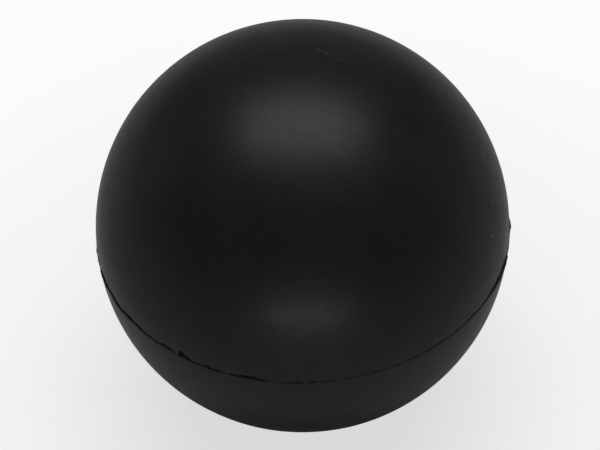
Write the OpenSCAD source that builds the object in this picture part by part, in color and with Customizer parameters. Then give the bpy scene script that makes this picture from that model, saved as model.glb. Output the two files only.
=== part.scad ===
// Case opening friction ball: a hollow, air-filled ball of soft black rubber.
//
// It is pressed on a screwed watch case back and turned by hand. Two moulded half
// shells are cemented rim to rim, and the rubber that was squeezed out along the
// joint has been torn away, which leaves a fine groove with ragged bits of flash.
//
// Frame: the origin is the ball's centre, +Z is the axis of the two half shells,
// and the joint lies in the plane z = 0. Bearings along the joint are measured
// from the front, -Y, and are positive towards +X.

/* [Ball] */
// Outside diameter of the ball
ball_d = 65; // [60:1:75]
// Thickness of the rubber wall
wall = 6; // [4:0.5:9]

/* [Joint] */
// Thickness of the cement layer between the two rims
cement_t = 0.2; // [0.1:0.05:0.3]
// Radius of the half-round groove that runs around the joint
groove_r = 0.25; // [0.2:0.05:0.4]
// Radius of the cement bead that was squeezed into the air space
bead_r = 0.6; // [0.3:0.1:1]

/* [Flash] */
// Thickness of the torn flash, which stands clear of both groove walls
flash_t = 0.12; // [0.06:0.02:0.16]
// Height of the largest bits of flash above the ball
flash_h = 0.35; // [0.2:0.05:0.5]
// Height of the tag that was left standing at the ball's right side
tag_h = 0.45; // [0.35:0.05:0.7]
// Length of that tag along the joint
tag_l = 2.6; // [2:0.2:4]

/* [Damage] */
// Radius of the nick torn out of the upper rim
nick_r = 0.7; // [0.5:0.1:1]
// Bearing of the nick, in degrees
nick_bearing = -35; // [-60:1:60]

/* [Hidden] */

ball_r = ball_d / 2;
inner_r = ball_r - wall;
root_r = ball_r - groove_r;

// Middle of the nick: it opens into the groove, and its middle lies outside the ball
nick_lift = 0.93 * nick_r;
nick_out = ball_r + nick_r / 3;

// Stretches of flash that were left around the front: [bearing, sweep, share of flash_h]
front_flash = [
    [-84, 12, 0.3],
    [-72, 12, 0.9],
    [-59, 10, 0.5],
    [-48, 10, 0.2],
    [-33, 5, 0.2],
    [-27, 4, 0.2],
    [-20, 9, 0.2],
    [-5, 4, 0.1],
    [5, 3, 0.1],
    [12, 44, 0.2],
    [58, 8, 0.8],
    [67, 16, 1.0],
];
// Around the back, stretches of varying length follow each other at an even pitch
back_count = 9;
back_start = 98;
back_pitch = 19;
// Sweep and height of back stretch i
function back_sweep(i) = 9 + 5 * sin(i * 110);
function back_share(i) = 0.5 + 0.3 * cos(i * 130);

// The tag is a crescent: a disc of this radius that leaves the ball over tag_l
tag_bearing = 87;
tag_rise = (tag_l / 2) * (tag_l / 2) / 2;
tag_r = tag_rise / (tag_h + tag_rise / ball_r);

$fn = 180;

rubber_black = "#17171a";
torn_black = "#0d0d0f";
cement_grey = "#2b2622";

// Angle from +X of a bearing that is measured from -Y
function turn(bearing) = bearing - 90;

// Half section of one shell, rim down: outer arc, inner arc, flat rim and groove
module shell_section() {
    difference() {
        intersection() {
            circle(r = ball_r);
            translate([0, cement_t / 2]) square([ball_r, ball_r]);
        }
        circle(r = inner_r);
        translate([ball_r, 0]) circle(r = groove_r);
    }
}

// One stretch of torn flash, from the groove's root to its height above the ball
module flash_stretch(bearing, sweep, share) {
    rotate_extrude(angle = sweep, start = turn(bearing))
        translate([root_r, -flash_t / 2])
            square([groove_r + share * flash_h, flash_t]);
}

module upper_half_shell() {
    color(rubber_black)
        difference() {
            rotate_extrude() shell_section();
            rotate([0, 0, turn(nick_bearing)])
                translate([nick_out, 0, nick_lift])
                    sphere(r = nick_r);
        }
}

module lower_half_shell() {
    color(rubber_black)
        mirror([0, 0, 1]) rotate_extrude() shell_section();
}

// Cement between the rims, with the round bead that it formed on the inside
module seam_cement() {
    color(cement_grey)
        rotate_extrude() {
            translate([inner_r - bead_r, -cement_t / 2])
                square([root_r - inner_r + bead_r, cement_t]);
            translate([inner_r - bead_r, 0]) circle(r = bead_r);
        }
}

module seam_flash() {
    color(torn_black) {
        for (f = front_flash) flash_stretch(f[0], f[1], f[2]);
        for (i = [0 : back_count - 1])
            flash_stretch(back_start + i * back_pitch, back_sweep(i), back_share(i));
    }
}

module flash_tag() {
    color(torn_black)
        rotate([0, 0, turn(tag_bearing)])
            difference() {
                translate([ball_r + tag_h - tag_r, 0, -flash_t / 2])
                    cylinder(r = tag_r, h = flash_t);
                translate([0, 0, -flash_t])
                    cylinder(r = root_r, h = 2 * flash_t);
            }
}

upper_half_shell();
lower_half_shell();
seam_cement();
seam_flash();
flash_tag();
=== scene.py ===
"""Looks of the case opening friction ball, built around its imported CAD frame.

The frame's origin is the ball's centre, +Z is the axis of the two half shells, and the
joint lies in the plane z = 0. Bearings along the joint are measured in degrees from the
front, -Y, and are positive towards +X. Latitudes are positive on the upper half.
"""
import math
import random

import bmesh
import bpy
from mathutils import Matrix, Quaternion, Vector, noise


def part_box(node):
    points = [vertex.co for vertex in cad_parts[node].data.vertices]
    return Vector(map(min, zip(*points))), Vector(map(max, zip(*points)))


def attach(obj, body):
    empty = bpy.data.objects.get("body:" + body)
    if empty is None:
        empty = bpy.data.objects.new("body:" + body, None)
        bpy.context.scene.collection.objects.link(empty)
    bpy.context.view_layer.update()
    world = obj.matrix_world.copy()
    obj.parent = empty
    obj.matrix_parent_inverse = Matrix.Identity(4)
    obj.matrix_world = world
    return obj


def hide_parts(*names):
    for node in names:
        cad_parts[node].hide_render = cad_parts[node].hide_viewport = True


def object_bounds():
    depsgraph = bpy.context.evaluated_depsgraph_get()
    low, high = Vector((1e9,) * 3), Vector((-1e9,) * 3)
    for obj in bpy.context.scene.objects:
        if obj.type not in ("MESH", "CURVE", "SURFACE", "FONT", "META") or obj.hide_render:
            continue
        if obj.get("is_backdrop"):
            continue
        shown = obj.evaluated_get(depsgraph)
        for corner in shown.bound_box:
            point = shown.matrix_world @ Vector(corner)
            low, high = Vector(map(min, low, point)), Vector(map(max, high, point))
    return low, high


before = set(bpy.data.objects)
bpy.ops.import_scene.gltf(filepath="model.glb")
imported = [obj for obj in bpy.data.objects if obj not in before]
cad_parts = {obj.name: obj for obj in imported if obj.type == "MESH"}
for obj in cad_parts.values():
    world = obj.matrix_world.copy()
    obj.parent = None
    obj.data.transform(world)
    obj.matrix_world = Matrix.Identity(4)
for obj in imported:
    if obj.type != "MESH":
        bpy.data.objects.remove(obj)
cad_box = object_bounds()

MM = 0.001

# ---------------------------------------------------------------- sizes from the frame

BALL_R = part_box("upper_half_shell")[1].z
RIM_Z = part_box("upper_half_shell")[0].z       # flat rim of a half shell, at the cement
ROOT_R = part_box("seam_cement")[1].x           # outer edge of the cement, the groove's root
WALL = 6 * MM
INNER_R = BALL_R - WALL

# ---------------------------------------------------------------- the joint

# Stretches of the joint around the front: from and to bearing, width of the opening
# between the two lips, how far it has crept up onto the upper half, height of the torn
# flash in it, and how far that flash hangs down over the lower half. Millimetres.
FRONT = [
    (-97, -84, 0.16, 0.0, 0.07, 0.0),
    (-84, -77, 0.20, 0.0, 0.13, 0.0),
    (-76.5, -71.4, 0.28, 0.0, 0.24, 0.1),
    (-72.8, -68.4, 0.34, 0.0, 0.27, 0.25),
    (-68.8, -66.4, 0.26, -0.05, 0.16, 0.1),
    (-67, -63.2, 0.84, 0.10, 0.08, 0.0),
    (-65, -60.8, 0.98, -0.08, 0.22, 0.1),
    (-61.8, -57.6, 0.64, -0.14, 0.16, 0.15),
    (-58.6, -53.4, 0.66, 0.13, 0.12, 0.0),
    (-54.2, -48.6, 0.60, 0.13, 0.08, 0.0),
    (-48.8, -46.6, 0.46, 0.08, 0.03, 0.0),
    (-47, -45.2, 0.68, 0.10, 0.04, 0.0),
    (-45.4, -42.4, 0.50, 0.08, 0.04, 0.0),
    (-42.8, -36.9, 0.50, 0.27, 0.04, 0.0),
    (-36.5, -32.6, 0.46, 0.06, 0.0, 0.0),
    (-33.1, -30.4, 0.46, 0.09, 0.04, 0.0),
    (-30.8, -28.8, 0.34, 0.06, 0.04, 0.0),
    (-28.8, -27.4, 0.22, 0.05, 0.04, 0.0),
    (-28, -25.2, 0.72, 0.15, 0.02, 0.0),
    (-25.7, -23.1, 0.42, 0.08, 0.02, 0.0),
    (-23.4, -20.8, 0.06, 0.0, 0.0, 0.0),
    (-20.7, -17.4, 0.34, 0.16, 0.03, 0.0),
    (-18.2, -12.8, 0.58, 0.24, 0.03, 0.0),
    (-13.4, -10.6, 0.38, 0.04, 0.05, 0.0),
    (-10.4, -5.2, 0.04, 0.0, 0.0, 0.0),
    (-5.4, -3, 0.30, 0.06, 0.015, 0.0),
    (-3.6, -1.1, 0.42, 0.10, 0.015, 0.0),
    (0.4, 2.8, 0.20, 0.02, 0.01, 0.0),
    (3.9, 5.3, 0.42, 0.08, 0.01, 0.0),
    (5.9, 7.6, 0.30, 0.08, 0.02, 0.0),
    (9.7, 11.2, 0.24, 0.08, 0.02, 0.0),
    (11.5, 16.4, 0.06, 0.06, 0.01, 0.0),
    (16.2, 22.4, 0.22, 0.14, 0.015, 0.0),
    (22.4, 24.8, 0.24, 0.15, 0.02, 0.0),
    (24.6, 28.6, 0.22, 0.16, 0.015, 0.0),
    (28.2, 32.4, 0.33, 0.16, 0.03, 0.0),
    (32, 36.8, 0.33, 0.15, 0.03, 0.0),
    (36.4, 41.2, 0.38, 0.15, 0.04, 0.0),
    (41, 43, 0.26, 0.15, 0.03, 0.0),
    (43, 45.4, 0.36, 0.16, 0.04, 0.0),
    (45.2, 46.8, 0.24, 0.15, 0.03, 0.0),
    (46.6, 54.2, 0.37, 0.13, 0.06, 0.0),
    (53.8, 57.6, 0.30, 0.12, 0.07, 0.0),
    (56.8, 61.2, 0.44, 0.09, 0.17, 0.0),
    (60.4, 65.2, 0.54, 0.13, 0.27, 0.1),
    (64.4, 69.8, 0.64, 0.12, 0.36, 0.2),
    (68.8, 74.2, 0.64, 0.16, 0.35, 0.25),
    (72.6, 76.4, 0.34, 0.06, 0.26, 0.1),
    (76, 80.8, 0.22, 0.0, 0.13, 0.0),
    (80.2, 86.0, 0.20, 0.0, 0.14, 0.0),
    (91.5, 97, 0.16, 0.0, 0.06, 0.0),
]
# The tag is a separate scrap of the same flash, and stands out of the outline.
TAG = (83.6, 91.6, 0.20, 0.0, 0.42, 0.0)
TAG_SOFT = 3.2             # degrees over which the tag rises from its ends
CALM = (59, 97, 4)         # bearings between which the flash is hardly ragged, and fade
CALM_SHARE = 0.7           # how much of the raggedness is missing there

BACK_COUNT = 9             # stretches around the back, as in the CAD's own flash
BACK_START = 98            # bearing of the first
BACK_PITCH = 19            # degrees from one to the next


def back_stretches():
    """Stretches round the back, at the CAD flash's own pitch and lengths."""
    for i in range(BACK_COUNT):
        start = BACK_START + BACK_PITCH * i
        sweep = 9 + 5 * math.sin(math.radians(110 * i))
        share = 0.5 + 0.3 * math.cos(math.radians(130 * i))
        droop = 0.4 * share if i % 3 == 0 else 0.0
        yield (start, start + sweep, 0.14 + 0.26 * share, 0.1 * share, 0.35 * share, droop)


STRETCHES = FRONT + list(back_stretches())

HAIRLINE = 0.05 * MM       # what is left of the opening where the lips meet
WANDER = 0.16 * MM         # how far the opening strays up and down by itself, at most
RAGGED = 1.3               # how much each lip strays, as a share of half the opening


def smooth(x, low, high):
    """0 below low, 1 above high, and a smooth turn between them."""
    t = min(1.0, max(0.0, (x - low) / (high - low)))
    return t * t * (3 - 2 * t)


def window(bearing, start, end, soft):
    """1 between two bearings, 0 outside them, whichever turn bearing is given in."""
    middle = (start + end) / 2
    off = abs((bearing - middle + 180) % 360 - 180)
    half = (end - start) / 2
    return 1 - smooth(off, half - soft, half + soft * 0.3)


def compass(bearing):
    """Unit vector in the joint's plane at that bearing."""
    angle = math.radians(bearing)
    return Vector((math.sin(angle), -math.cos(angle), 0))


def ripple(bearing, length, seed):
    """Noise of about that wavelength along the joint, from -1 to 1."""
    place = compass(bearing) * (BALL_R / length)
    return noise.noise(place + Vector((0, 0, 7.3 * seed)))


def soft_end(stretch):
    """Degrees over which a stretch fades out at each end."""
    return min(0.9, 0.35 * (stretch[1] - stretch[0]))


def opening(bearing):
    """Width between the two lips."""
    widest = max(
        width * window(bearing, start, end, soft_end((start, end)))
        for start, end, width, _, _, _ in STRETCHES + [TAG]
    )
    return HAIRLINE + widest * MM


def drift(bearing):
    """How far the middle of the opening lies above the joint's plane."""
    crept = sum(
        rise * window(bearing, start, end, 1.0)
        for start, end, _, rise, _, _ in STRETCHES
    )
    wander = 0.6 * ripple(bearing, 2.2 * MM, 11) + 0.4 * ripple(bearing, 0.9 * MM, 12)
    return crept * MM + wander * min(WANDER, 0.45 * opening(bearing))


def lip(bearing, side):
    """Height of one half's ragged lip; side is 1 for the upper half and -1 for the lower."""
    coarse = ripple(bearing, 1.3 * MM, side)
    fine = ripple(bearing, 0.5 * MM, 3 + side)
    rough = 0.55 * coarse + 0.45 * fine
    return drift(bearing) + side * 0.5 * opening(bearing) * (1 + RAGGED * rough)


# ---------------------------------------------------------------- marks on the skin

# Pits: bearing, latitude, half length, half width and depth in millimetres, and the
# angle of the length from level in degrees.
PITS = [
    (-13, 6.4, 0.20, 0.13, 0.06, 80),
    (6, 23.2, 0.18, 0.14, 0.05, 0),
    (8.4, 20.4, 0.30, 0.20, 0.02, 30),
    (-51, -8.6, 0.30, 0.15, 0.06, 50),
    (69.8, 23.8, 0.62, 0.36, 0.06, 42),
    (85, 29, 0.75, 0.55, 0.04, 100),
]
PIT_REACH = 2.5            # half lengths over which a pit is worked out
PIT_FALL = 1.6             # how fast its depth falls off from its centre
STRAY_PITS = 16


def outward(bearing, latitude):
    """Unit vector from the ball's centre."""
    level = math.cos(math.radians(latitude))
    return compass(bearing) * level + Vector((0, 0, math.sin(math.radians(latitude))))


def stray_pits():
    """A few more small pits on the sides that face away."""
    dice = random.Random(11)
    for _ in range(STRAY_PITS):
        bearing = dice.uniform(95, 265)
        latitude = dice.uniform(-70, 75)
        size = dice.uniform(0.12, 0.3)
        yield (bearing, latitude, size * 1.4, size, 0.2 * size, dice.uniform(0, 180))


def pit_frames():
    """Each pit's centre, its two axes along the skin, its half sizes and depth."""
    for bearing, latitude, length, width, depth, angle in PITS + list(stray_pits()):
        centre = outward(bearing, latitude)
        east = Vector((0, 0, 1)).cross(centre).normalized()
        north = centre.cross(east)
        turn = math.radians(angle)
        along = east * math.cos(turn) + north * math.sin(turn)
        yield centre, along, centre.cross(along), length * MM, width * MM, depth * MM


PIT_FRAMES = list(pit_frames())

# Light scuffs on the crown: strength, half width, and points x, y, in millimetres.
SCUFFS = [
    (0.75, 0.28, [(3.1, 4.9), (5.0, 3.95)]),
    (0.55, 0.24, [(5.0, 3.95), (7.4, 2.5)]),
    (0.30, 0.18, [(4.6, 4.4), (5.9, 4.9)]),
    (0.30, 0.24, [(7.0, 5.2), (7.9, 4.0), (7.8, 2.6)]),
    (0.35, 0.17, [(5.1, 8.3), (5.8, 7.4)]),
    (0.30, 0.18, [(-0.2, -2.0), (0.8, -2.6), (1.3, -3.8)]),
]
PAINTED_GLINT = [(65.85, 16.6), (66.75, 15.8)]  # bearing and latitude of both ends of a painted highlight: a light streak in the colour that stands in for the glint on a tiny raised bump


def scuff_lines():
    """Each scuff as its strength, half width and points on the ball."""
    for strength, half_width, line in SCUFFS:
        points = []
        for x, y in line:
            z = math.sqrt((BALL_R / MM) ** 2 - x ** 2 - y ** 2)
            points.append(Vector((x, y, z)) * MM)
        yield strength, half_width * MM, points


# The nick: a scrap of the upper lip was torn out with the flash. It is steep at its left
# end and runs out to the right.
NICK_BEARING = -36.1       # of its left end
NICK_LEFT = 0.6 * MM       # its height there
NICK_CLIMB = 1.8           # slope up to its highest point
NICK_TOP = 1.35 * MM
NICK_FALL = 0.55           # slope down to its right end
NICK_LENGTH = 3.1 * MM
NICK_DEPTH = 0.50 * MM
NICK_RAGGED = 0.15 * MM    # how far its outline strays

# The skin is not quite even: height and fineness of its two waves.
WAVES = ((0.012 * MM, 3.1), (0.006 * MM, 9.0))
SLOPE_STEP = 0.04 * MM     # distance over which the skin's slope is taken


def inside_nick(point):
    """How far inside the torn nick a point of the upper half is; negative outside."""
    if not 0 <= point.z < 2 * NICK_TOP:
        return -MM
    bearing = math.degrees(math.atan2(point.x, -point.y))
    along = math.radians(bearing - NICK_BEARING) * BALL_R
    if not -MM < along < NICK_LENGTH:
        return -MM
    ragged = NICK_RAGGED * noise.noise(point * (1 / (0.4 * MM)))
    climb = NICK_LEFT + NICK_CLIMB * along
    fall = NICK_FALL * (NICK_LENGTH - along)
    return min(min(climb, NICK_TOP, fall) - point.z, along) + ragged


def relief(point):
    """(height of the skin above the true ball, torn share) at a point. The torn share also
    carries painted shade: the nick and the pits are coloured near black.
    """
    heading = point.normalized()
    height = sum(high * noise.noise(heading * fineness) for high, fineness in WAVES)
    inside = inside_nick(point)
    torn = smooth(inside, -0.14 * MM, 0.20 * MM)
    hollow = smooth(inside, 0, 0.45 * MM)
    crumbs = noise.noise(point * (1 / (0.3 * MM)))
    height -= NICK_DEPTH * hollow * (0.8 + 0.5 * crumbs)
    for centre, along, across, length, width, depth in PIT_FRAMES:
        off = point - centre * BALL_R
        if off.length < PIT_REACH * length:
            reach = math.hypot(off.dot(along) / length, off.dot(across) / width)
            share = math.exp(-reach ** 2 * PIT_FALL)
            height -= depth * share
            # painted shade: a pit takes the near-black torn colour, though nothing is torn
            # there
            torn = max(torn, 0.9 * share)
    return height, torn


def skin_normal(point):
    """Normal of the skin at a point of it, from the slope of its relief."""
    heading = point.normalized()
    east = Vector((0, 0, 1)).cross(heading)
    if east.length < 1e-6:
        return heading
    east.normalize()
    here = relief(point)[0]
    slope = Vector()
    for way in (east, heading.cross(east)):
        slope += way * ((relief(point + way * SLOPE_STEP)[0] - here) / SLOPE_STEP)
    return (heading - slope).normalized()


# ---------------------------------------------------------------- mesh helpers


def ring(bm, count, place):
    """A ring of vertices; place(bearing) gives each one's point."""
    return [bm.verts.new(place(360 * i / count - 180)) for i in range(count)]


def stitch(bm, first, second):
    """Faces between two rings of the same count, or where the second has half as many."""
    n, m = len(first), len(second)
    if n == m:
        for i in range(n):
            j = (i + 1) % n
            bm.faces.new((first[i], first[j], second[j], second[i]))
        return
    for i in range(m):
        j = (i + 1) % m
        a, b, c = first[2 * i], first[2 * i + 1], first[(2 * i + 2) % n]
        bm.faces.new((a, b, second[i]))
        bm.faces.new((b, second[j], second[i]))
        bm.faces.new((b, c, second[j]))


def as_object(bm, name, materials):
    """Finishes a bmesh as a smooth-shaded object at the origin."""
    bmesh.ops.recalc_face_normals(bm, faces=bm.faces)
    mesh = bpy.data.meshes.new(name)
    bm.to_mesh(mesh)
    bm.free()
    mesh.shade_smooth()
    made = bpy.data.objects.new(name, mesh)
    bpy.context.scene.collection.objects.link(made)
    for material in materials:
        mesh.materials.append(material)
    return made


def on_ball(bearing, z, radius):
    """The point at height z on a sphere of that radius."""
    return compass(bearing) * math.sqrt(radius ** 2 - z ** 2) + Vector((0, 0, z))


# ---------------------------------------------------------------- the half shells

FINE = 1440                       # columns at the lip: one for every 0.14 mm
# Heights of the rings over the lip, in millimetres
NEAR_LIP = [0, 0.04, 0.10, 0.17, 0.25, 0.34, 0.44, 0.56, 0.70, 0.86, 1.05, 1.3, 1.6, 2.0]
LIP_FADE = 2.0 * MM               # the raggedness has died away this far from the lip
LIP_BACK = 0.09 * MM              # the groove's wall is followed this far under the skin
SKIN_DEPTH = 0.06 * MM            # vertices no deeper than this belong to the skin
OUTER_STEPS = [                   # latitude and columns of each ring above the lip
    *[(lat, 720) for lat in (4.4, 5.4, 6.6)],
    *[(lat, 360) for lat in (8, 9.5, 11, 12.5)],
    *[(lat, 360) for lat in range(14, 62, 2)],
    *[(lat, 180) for lat in range(62, 80, 2)],
    *[(lat, 90) for lat in (80, 82, 84)],
    *[(lat, 45) for lat in (86, 88)],
]
INNER_STEPS = [                   # the same inside, above the rim
    *[(lat, 180) for lat in range(4, 68, 4)],
    *[(lat, 90) for lat in range(68, 80, 4)],
    *[(lat, 45) for lat in (80, 84, 87)],
]


def dome(bm, rim, steps, radius, side):
    """Rings from a rim up to the pole, with fewer columns as they grow short."""
    last = rim
    for latitude, count in steps:
        z = side * radius * math.sin(math.radians(latitude))
        new = ring(bm, count, lambda bearing: on_ball(bearing, z, radius))
        stitch(bm, last, new)
        last = new
    pole = bm.verts.new((0, 0, side * radius))
    for i, vert in enumerate(last):
        bm.faces.new((vert, last[(i + 1) % len(last)], pole))


def refine(bm, centre, reach, cuts):
    """Finer faces on the skin around a mark."""
    middle = centre * BALL_R
    edges = {
        e
        for f in bm.faces
        if (f.calc_center_median() - middle).length < reach
        for e in f.edges
    }
    bmesh.ops.subdivide_edges(bm, edges=list(edges), cuts=cuts, use_grid_fill=True)


def half_shell(name, side, materials):
    """One thick half of the ball, with its ragged lip at the joint."""
    bm = bmesh.new()

    def near(step):
        def place(bearing):
            fade = 1 - smooth(step, 0, LIP_FADE)
            return on_ball(bearing, lip(bearing, side) * fade + side * step, BALL_R)
        return place

    rings = [ring(bm, FINE, near(step * MM)) for step in NEAR_LIP]
    for a, b in zip(rings, rings[1:]):
        stitch(bm, a, b)
    dome(bm, rings[-1], OUTER_STEPS, BALL_R, side)

    def wall(bearing):
        return on_ball(bearing, 0.75 * lip(bearing, side), BALL_R - LIP_BACK)

    def level(radius):
        def place(bearing):
            return compass(bearing) * radius + Vector((0, 0, side * RIM_Z))
        return place

    # From the lip down the groove's wall and along the flat rim, to the air space
    last = rings[0]
    for count, place in (
        (FINE, wall),
        (FINE, level(ROOT_R)),
        (720, level(ROOT_R - 0.5 * MM)),
        (360, level(ROOT_R - 2 * MM)),
        (180, level(math.sqrt(INNER_R ** 2 - RIM_Z ** 2))),
    ):
        new = ring(bm, count, place)
        stitch(bm, last, new)
        last = new
    dome(bm, last, INNER_STEPS, INNER_R, side)

    for centre, _, _, length, _, _ in PIT_FRAMES:
        if centre.z * side > 0:
            refine(bm, centre, reach=2.0 * length, cuts=5)

    # the torn share: dull where the rubber tore, and painted shade that colours the groove,
    # the nick and the pits near black
    torn_and_shade_layer = bm.verts.layers.float.new("torn")
    lip_verts = set(rings[0])
    for vert in bm.verts:
        if vert.co.length < BALL_R - SKIN_DEPTH:
            # painted shade: the groove's wall and the rim under the skin are coloured near
            # black
            in_groove = vert.co.length > ROOT_R - 0.01 * MM
            vert[torn_and_shade_layer] = 1.0 if in_groove else 0.0
            continue
        height, torn = relief(vert.co)
        vert.co *= (BALL_R + height) / vert.co.length
        vert[torn_and_shade_layer] = 1.0 if vert in lip_verts else torn
    shell = as_object(bm, name, materials)
    even_out(shell.data)
    return shell


def even_out(mesh):
    """Gives the skin away from the lip the normals of its relief, whatever its faces."""
    normals = [v.normal.copy() for v in mesh.vertices]
    for vert in mesh.vertices:
        if abs(vert.co.z) > LIP_FADE and vert.co.length > BALL_R - 0.5 * MM:
            normals[vert.index] = skin_normal(vert.co)
    mesh.normals_split_custom_set_from_vertices(normals)


# ---------------------------------------------------------------- flash

FLASH_STEP = 0.2                  # degrees between two cross sections
FLASH_LEAST = 0.02                # height in millimetres where it has run out
FLASH_ROOT = 0.07 * MM            # half its thickness at the groove's root


def flash_section(bearing, stretch, seed):
    """Outline of the torn flash at one bearing, root to tip and back, as points."""
    start, end, width, _, height, droop = stretch
    ends = window(bearing, start, end, TAG_SOFT if stretch is TAG else soft_end(stretch))
    rough = ripple(bearing, 1.1 * MM, seed) + 0.7 * ripple(bearing, 0.35 * MM, seed + 5)
    rough *= 1 - CALM_SHARE * window(bearing, *CALM)
    top = max(FLASH_LEAST, height * ends * (0.85 + 0.75 * rough)) * MM
    hang = max(0.0, droop * ends * (0.9 + 0.8 * rough)) * MM
    half = (0.05 + 0.38 * width * ends) * MM
    lean = 0.25 * half * ripple(bearing, 0.8 * MM, seed + 9)
    outline = [
        (ROOT_R, -FLASH_ROOT),
        (BALL_R + 0.01 * MM, -half),
        (BALL_R + 0.03 * MM, -half - 0.8 * hang),
        (BALL_R + 0.06 * MM + 0.3 * top, -half - hang),
        (BALL_R + top, -0.35 * (half + hang) + lean),
        (BALL_R + 0.9 * top, 0.3 * half + lean),
        (BALL_R - 0.01 * MM, half),
        (ROOT_R, FLASH_ROOT),
    ]
    lift = drift(bearing)
    return [
        compass(bearing) * r + Vector((0, 0, z + (lift if r > ROOT_R else 0)))
        for r, z in outline
    ]


def add_flash(bm, stretch, seed):
    """One torn stretch: its cross sections joined, and both ends closed."""
    start, end = stretch[:2]
    count = max(3, round((end - start) / FLASH_STEP))
    last = None
    for i in range(count + 1):
        bearing = start + (end - start) * i / count
        new = [bm.verts.new(p) for p in flash_section(bearing, stretch, seed)]
        if last is None:
            bm.faces.new(new)
        else:
            for a in range(len(new)):
                b = (a + 1) % len(new)
                bm.faces.new((last[a], last[b], new[b], new[a]))
        last = new
    bm.faces.new(last)


def torn_flash(name, stretches, materials):
    """All stretches that stand up, as one piece."""
    bm = bmesh.new()
    for seed, stretch in enumerate(stretches):
        if stretch[4] > 0:
            add_flash(bm, stretch, seed)
    return as_object(bm, name, materials)


# ---------------------------------------------------------------- materials


def node(tree, kind, inputs=None, **settings):
    """Adds a shader node. An input's value is a number, a colour or a socket to link."""
    made = tree.nodes.new(kind)
    for key, value in settings.items():
        setattr(made, key, value)
    for key, value in (inputs or {}).items():
        if isinstance(value, bpy.types.NodeSocket):
            tree.links.new(value, made.inputs[key])
        else:
            made.inputs[key].default_value = value
    return made


def grey(level, warm=0.0):
    """A near-neutral linear colour."""
    return (level * (1 + warm), level, level * (1 - warm), 1)


def mixed(tree, share, a, b):
    """Colour between a and b."""
    made = node(tree, "ShaderNodeMix", data_type="RGBA", inputs={0: share, 6: a, 7: b})
    return made.outputs[2]


def ranged(tree, value, low, high, to_low, to_high):
    """value from low..high taken to to_low..to_high, and kept inside them."""
    made = node(tree, "ShaderNodeMapRange", inputs={
        "Value": value, "From Min": low, "From Max": high, "To Min": to_low, "To Max": to_high,
    })
    return made.outputs["Result"]


def maths(tree, operation, a, b=0.0):
    """Result of one sum on two numbers or sockets."""
    return node(tree, "ShaderNodeMath", operation=operation, inputs={0: a, 1: b}).outputs[0]


def grain(tree, place, size, detail=2.0, roughness=0.5):
    """Noise whose features are about that many metres across."""
    made = node(tree, "ShaderNodeTexNoise", inputs={
        "Vector": place, "Scale": 1 / size, "Detail": detail, "Roughness": roughness,
    })
    return made.outputs["Fac"]


def bumps(tree, height, strength, distance):
    """Normal of a surface with that height on it."""
    made = node(tree, "ShaderNodeBump", inputs={
        "Height": height, "Strength": strength, "Distance": distance,
    })
    return made.outputs[0]


def plug(tree, surface, colour, rough, normal):
    """Links what varies over a surface to its shader."""
    tree.links.new(colour, surface.inputs["Base Color"])
    tree.links.new(rough, surface.inputs["Roughness"])
    tree.links.new(normal, surface.inputs["Normal"])


def blank_material(name):
    """A material with its node tree, its shader and the object's coordinates."""
    material = bpy.data.materials.new(name)
    material.use_nodes = True
    tree = material.node_tree
    tree.nodes.clear()
    surface = node(tree, "ShaderNodeBsdfPrincipled")
    output = node(tree, "ShaderNodeOutputMaterial")
    tree.links.new(surface.outputs[0], output.inputs["Surface"])
    place = node(tree, "ShaderNodeTexCoord").outputs["Object"]
    return material, tree, surface, place


def attribute(tree, name):
    """A number that is stored at the mesh's vertices."""
    return node(tree, "ShaderNodeAttribute", attribute_name=name).outputs["Fac"]


def vectors(tree, operation, a, b):
    """Node for one sum on two vectors."""
    return node(tree, "ShaderNodeVectorMath", operation=operation, inputs={0: a, 1: b})


def streak(tree, place, a, b, half_width):
    """1 along the straight line from a to b, and 0 from twice half_width off it."""
    way = b - a
    off_a = vectors(tree, "SUBTRACT", place, a).outputs[0]
    share = vectors(tree, "DOT_PRODUCT", off_a, way / way.length_squared).outputs["Value"]
    nearest = node(tree, "ShaderNodeVectorMath", operation="SCALE", inputs={
        0: way, "Scale": ranged(tree, share, 0, 1, 0, 1),
    })
    off = vectors(tree, "DISTANCE", off_a, nearest.outputs[0]).outputs["Value"]
    return ranged(tree, off, 0.3 * half_width, 2 * half_width, 1, 0)


def light_marks(tree, place):
    """Share of chalk in the scuffs at a place, broken up by a coarse grit."""
    most = None
    for strength, half_width, line in scuff_lines():
        for a, b in zip(line, line[1:]):
            one = maths(tree, "MULTIPLY", streak(tree, place, a, b, half_width), strength)
            most = one if most is None else maths(tree, "MAXIMUM", most, one)
    grit = ranged(tree, grain(tree, place, 0.45 * MM, 2), 0.4, 0.6, 0.1, 1)
    return maths(tree, "MULTIPLY", most, grit)


DARK_SKIN = grey(0.0128)
LIGHT_SKIN = grey(0.0230, 0.01)
CHALK = grey(0.085)
# painted highlight: light grey for the glint on a tiny raised bump
PAINTED_GLINT_GREY = grey(0.10)
PAINTED_GLINT_HALF_WIDTH = 0.2 * MM
# painted shade: near black for the groove, the nick, the pits and the lips, darker than the
# rubber itself
PAINTED_SHADE_BLACK = grey(0.006)


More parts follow.
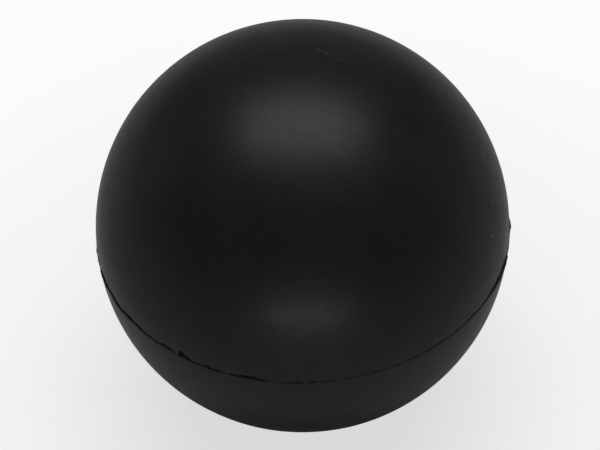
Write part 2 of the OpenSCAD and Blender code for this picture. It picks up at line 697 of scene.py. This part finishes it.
def black_rubber():
    """Moulded black rubber: fine grain, faint bloom, and dull where it was torn. Painted shade
    colours the groove, the nick and the pits near black, and a painted highlight stands for
    the glint on a tiny bump.
    """
    material, tree, surface, place = blank_material("black_rubber")
    torn = attribute(tree, "torn")
    chalk = light_marks(tree, place)
    bloom = grain(tree, place, 9 * MM, 3)
    fleck = grain(tree, place, 0.32 * MM, 2, 0.6)
    broad = maths(tree, "MULTIPLY", bloom, 0.35)
    tint = maths(tree, "ADD", broad, maths(tree, "MULTIPLY", fleck, 0.65))
    skin = mixed(tree, ranged(tree, tint, 0.35, 0.65, 0, 1), DARK_SKIN, LIGHT_SKIN)
    scuffed = mixed(tree, chalk, skin, CHALK)
    # painted highlight: a light streak where a tiny raised bump would catch the light
    glint = streak(tree, place, *(outward(*end) * BALL_R for end in PAINTED_GLINT), PAINTED_GLINT_HALF_WIDTH)
    glinted = mixed(tree, glint, scuffed, PAINTED_GLINT_GREY)
    # painted shade: near black where the torn share is, in the groove, the nick and the pits;
    # the lips and the nick are also really torn and dull
    colour = mixed(tree, torn, glinted, PAINTED_SHADE_BLACK)
    patches = maths(tree, "ADD", grain(tree, place, 2.5 * MM, 3), fleck)
    matte = ranged(tree, patches, 0.7, 1.3, 0.35, 0.45)
    worn = maths(tree, "MAXIMUM", maths(tree, "MULTIPLY", chalk, 0.6), matte)
    rough = maths(tree, "MAXIMUM", maths(tree, "MULTIPLY", torn, 0.75), worn)
    normal = bumps(tree, grain(tree, place, 0.3 * MM, 3, 0.6), 0.6, 0.04 * MM)
    plug(tree, surface, colour, rough, normal)
    surface.inputs["IOR"].default_value = 1.5
    surface.inputs["Coat Weight"].default_value = 1.0
    surface.inputs["Coat Roughness"].default_value = 0.18
    surface.inputs["Coat IOR"].default_value = 1.10
    return material


def torn_rubber():
    """The same rubber where the flash tore: crumbly, with painted light: lighter towards the
    right, where the flash catches grazing light, and smoother and lighter still on the tag
    that stands out there, a painted reflection."""
    material, tree, surface, place = blank_material("torn_rubber")
    crumbs = grain(tree, place, 0.25 * MM, 4, 0.7)
    fresh = mixed(tree, crumbs, grey(0.008), grey(0.024))
    # painted light: the lighter torn colour towards the right, where the flash catches grazing
    # light
    painted_lit_torn = mixed(tree, crumbs, grey(0.026), grey(0.054))
    # painted reflection: the smooth tag at the outline is coloured light, as if it reflected
    # the bright paper
    smooth_lit_skin = mixed(tree, crumbs, grey(0.05), grey(0.08))
    east = node(tree, "ShaderNodeSeparateXYZ", inputs={0: place}).outputs["X"]
    lit_towards_right = mixed(tree, ranged(tree, east, -4 * MM, 12 * MM, 0, 1), fresh, painted_lit_torn)
    lit_outline_share = ranged(tree, east, 0.97 * BALL_R, 0.99 * BALL_R, 0, 1)
    # painted reflection on the tag at the outline
    colour = mixed(tree, lit_outline_share, lit_towards_right, smooth_lit_skin)
    crumbly = ranged(tree, crumbs, 0.3, 0.7, 0.85, 1.0)
    rough = ranged(tree, lit_outline_share, 0, 1, crumbly, 0.45)
    plug(tree, surface, colour, rough, bumps(tree, crumbs, 0.8, 0.06 * MM))
    surface.inputs["Specular IOR Level"].default_value = 0.35
    return material


def rubber_cement():
    """Cured cement between the rims: dull, dark and a little uneven."""
    material, tree, surface, place = blank_material("rubber_cement")
    lumps = grain(tree, place, 0.8 * MM, 3, 0.6)
    colour = mixed(tree, lumps, grey(0.05, 0.25), grey(0.09, 0.3))
    rough = ranged(tree, lumps, 0.3, 0.7, 0.65, 0.9)
    plug(tree, surface, colour, rough, bumps(tree, lumps, 0.5, 0.1 * MM))
    return material


# ---------------------------------------------------------------- stage

PAPER = 0.97                      # what the camera sees of the paper and the room
# painted shade: what the ball sees of the paper is coloured darker away from the ball,
# standing in for the light falling off
NEAR_ALBEDO = 0.75                # the paper as it lights the ball, close to it
FAR_ALBEDO = 0.60
NEAR_EDGE = 0.8 * BALL_R
FAR_EDGE = 3.3 * BALL_R
SHADOW_SHARE = 0.30               # how much of the ball's shadow the camera sees
SHADOW_GAIN = 3.0
FLOOR_HALF = 4                    # half the sheet's width, in metres


def floor_material():
    """White paper. The camera sees it evenly lit, but for a faint shadow at the ball. What the
    ball sees of it is painted darker away from the ball, as shade for the light falling off.
    """
    material = bpy.data.materials.new("paper")
    material.use_nodes = True
    tree = material.node_tree
    tree.nodes.clear()
    seen = node(tree, "ShaderNodeLightPath").outputs["Is Camera Ray"]
    place = node(tree, "ShaderNodeTexCoord").outputs["Object"]
    length = node(tree, "ShaderNodeVectorMath", operation="LENGTH", inputs={0: place})
    away = length.outputs["Value"]
    far = node(tree, "ShaderNodeMapRange", interpolation_type="SMOOTHSTEP", inputs={
        "Value": away, "From Min": NEAR_EDGE, "From Max": FAR_EDGE, "To Min": 0, "To Max": 1,
    }).outputs["Result"]
    # painted shade: darker paper away from the ball, for everything but the camera
    unseen = mixed(tree, far, grey(NEAR_ALBEDO), grey(FAR_ALBEDO))
    lit = mixed(tree, seen, unseen, grey(NEAR_ALBEDO * SHADOW_GAIN))
    even_share = maths(tree, "MULTIPLY", ranged(tree, far, 0, 1, 1 - SHADOW_SHARE, 1), seen)
    paper = node(tree, "ShaderNodeBsdfDiffuse", inputs={"Color": lit})
    even = node(tree, "ShaderNodeEmission", inputs={"Color": grey(PAPER), "Strength": 1.0})
    both = node(tree, "ShaderNodeMixShader", inputs={
        0: even_share, 1: paper.outputs[0], 2: even.outputs[0],
    })
    output = node(tree, "ShaderNodeOutputMaterial")
    tree.links.new(both.outputs[0], output.inputs["Surface"])
    return material


def studio_floor():
    """A wide sheet under the ball's lowest point."""
    bm = bmesh.new()
    bmesh.ops.create_grid(bm, x_segments=40, y_segments=40, size=FLOOR_HALF)
    floor = as_object(bm, "floor", [floor_material()])
    floor.location.z = -BALL_R
    floor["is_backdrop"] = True


def soft_edges(data, softness):
    """Fades a rectangular light out towards its edges; softness is the share that fades."""
    data.use_nodes = True
    tree = data.node_tree
    tree.nodes.clear()
    across = node(tree, "ShaderNodeNewGeometry").outputs["Parametric"]
    parts = node(tree, "ShaderNodeSeparateXYZ", inputs={0: across})
    fades = []
    for axis in (0, 1):
        off = maths(tree, "ABSOLUTE", maths(tree, "SUBTRACT", parts.outputs[axis], 0.5))
        fade = node(tree, "ShaderNodeMapRange", interpolation_type="SMOOTHSTEP", inputs={
            "Value": off, "From Min": 0.5 * (1 - softness), "From Max": 0.5,
            "To Min": 1, "To Max": 0,
        })
        fades.append(fade.outputs["Result"])
    strength = maths(tree, "MULTIPLY", *fades)
    glow = node(tree, "ShaderNodeEmission", inputs={"Strength": strength})
    output = node(tree, "ShaderNodeOutputLight")
    tree.links.new(glow.outputs[0], output.inputs["Surface"])


def area_light(name, centre, size, radiance, softness, turn):
    """A rectangular light with soft edges that faces the ball."""
    data = bpy.data.lights.new(name, "AREA")
    data.shape = "RECTANGLE"
    data.size, data.size_y = size
    data.energy = radiance * math.pi * size[0] * size[1]
    soft_edges(data, softness)
    made = bpy.data.objects.new(name, data)
    bpy.context.scene.collection.objects.link(made)
    made.location = centre
    made.rotation_mode = "QUATERNION"
    facing = (-Vector(centre)).to_track_quat("-Z", "Y")
    made.rotation_quaternion = facing @ Quaternion((0, 0, 1), math.radians(turn))
    made.visible_camera = False


# Lights: name, centre and size in metres, radiance, share that fades, and turn in degrees.
# The lower part of the front card is hidden by the paper.
LIGHTS = [
    ("softbox", (0.08, 0.59, 3.0), (3.55, 2.03), 1.50, 0.23, 2.9),
    ("front_card", (0, -0.4, -0.069), (0.42, 0.21), 3.5, 0.70, 0),
    ("back_card", (0, 2.6, 0.66), (4.3, 1.38), 0.049, 0.6, 0),
    ("left_card", (-2.0, 0.7, 0.60), (1.62, 1.36), 0.092, 0.6, 0),
    ("right_card", (2.0, 0.4, 0.62), (1.62, 1.36), 0.092, 0.6, 0),
]
ROOM = 0.070                      # the room as it lights the ball


def studio_light():
    """A softbox overhead, a low card in front, and faint cards behind and beside."""
    for light in LIGHTS:
        area_light(*light)
    world = bpy.data.worlds.new("room")
    bpy.context.scene.world = world
    world.use_nodes = True
    tree = world.node_tree
    tree.nodes.clear()
    seen = node(tree, "ShaderNodeLightPath").outputs["Is Camera Ray"]
    colour = mixed(tree, seen, grey(ROOM), grey(PAPER))
    room = node(tree, "ShaderNodeBackground", inputs={"Color": colour, "Strength": 1.0})
    output = node(tree, "ShaderNodeOutputWorld")
    tree.links.new(room.outputs[0], output.inputs["Surface"])


# The camera looks down on the ball, which nearly fills the frame's height.
CAMERA_ELEVATION = 45.3
CAMERA_DISTANCE = 10 * BALL_R
CAMERA_LENS = 123.45
CAMERA_ROLL = 1.86                # the ball's axis leans this far to the left
AIM_LEFT = 0.39 * MM              # the camera aims this far left of the centre
AIM_UP = 0.10 * MM


def studio_camera():
    """A long lens that looks down on the ball from the front."""
    data = bpy.data.cameras.new("camera")
    data.lens = CAMERA_LENS
    data.sensor_width = 36
    data.clip_start, data.clip_end = 0.01, 50
    camera = bpy.data.objects.new("camera", data)
    bpy.context.scene.collection.objects.link(camera)
    bpy.context.scene.camera = camera
    away = outward(0, CAMERA_ELEVATION)
    upright = away.cross(Vector((1, 0, 0)))
    roll = Matrix.Rotation(-math.radians(CAMERA_ROLL), 3, away)
    x_axis = roll @ Vector((1, 0, 0))
    y_axis = roll @ upright
    place = away * CAMERA_DISTANCE
    aim = x_axis * -AIM_LEFT + y_axis * AIM_UP
    z_axis = (place - aim).normalized()
    x_axis = y_axis.cross(z_axis).normalized()
    y_axis = z_axis.cross(x_axis)
    turn = Matrix((x_axis, y_axis, z_axis)).transposed().to_4x4()
    camera.matrix_world = Matrix.Translation(place) @ turn


# ---------------------------------------------------------------- everything together


def build():
    """Both shells, the flash, the tag and the cement's material, and then the stage."""
    studio_camera()
    rubber = black_rubber()
    torn = torn_rubber()
    cement = rubber_cement()

    for side, where in ((1, "upper"), (-1, "lower")):
        shell = half_shell(f"{where}_half", side, [rubber])
        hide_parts(f"{where}_half_shell")
        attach(shell, "root")

    for name, stretches, cad_node in (
        ("torn_flash", STRETCHES, "seam_flash"),
        ("standing_tag", [TAG], "flash_tag"),
    ):
        piece = torn_flash(name, stretches, [torn])
        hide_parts(cad_node)
        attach(piece, "root")

    cement_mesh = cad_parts["seam_cement"].data
    cement_mesh.materials.clear()
    cement_mesh.materials.append(cement)

    studio_floor()
    studio_light()
    view = bpy.context.scene.view_settings
    view.view_transform = "Standard"
    view.look = "None"


build()
boxes = {"cad": cad_box, "visual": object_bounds()}
{name: [list(corner) for corner in box] for name, box in boxes.items()}
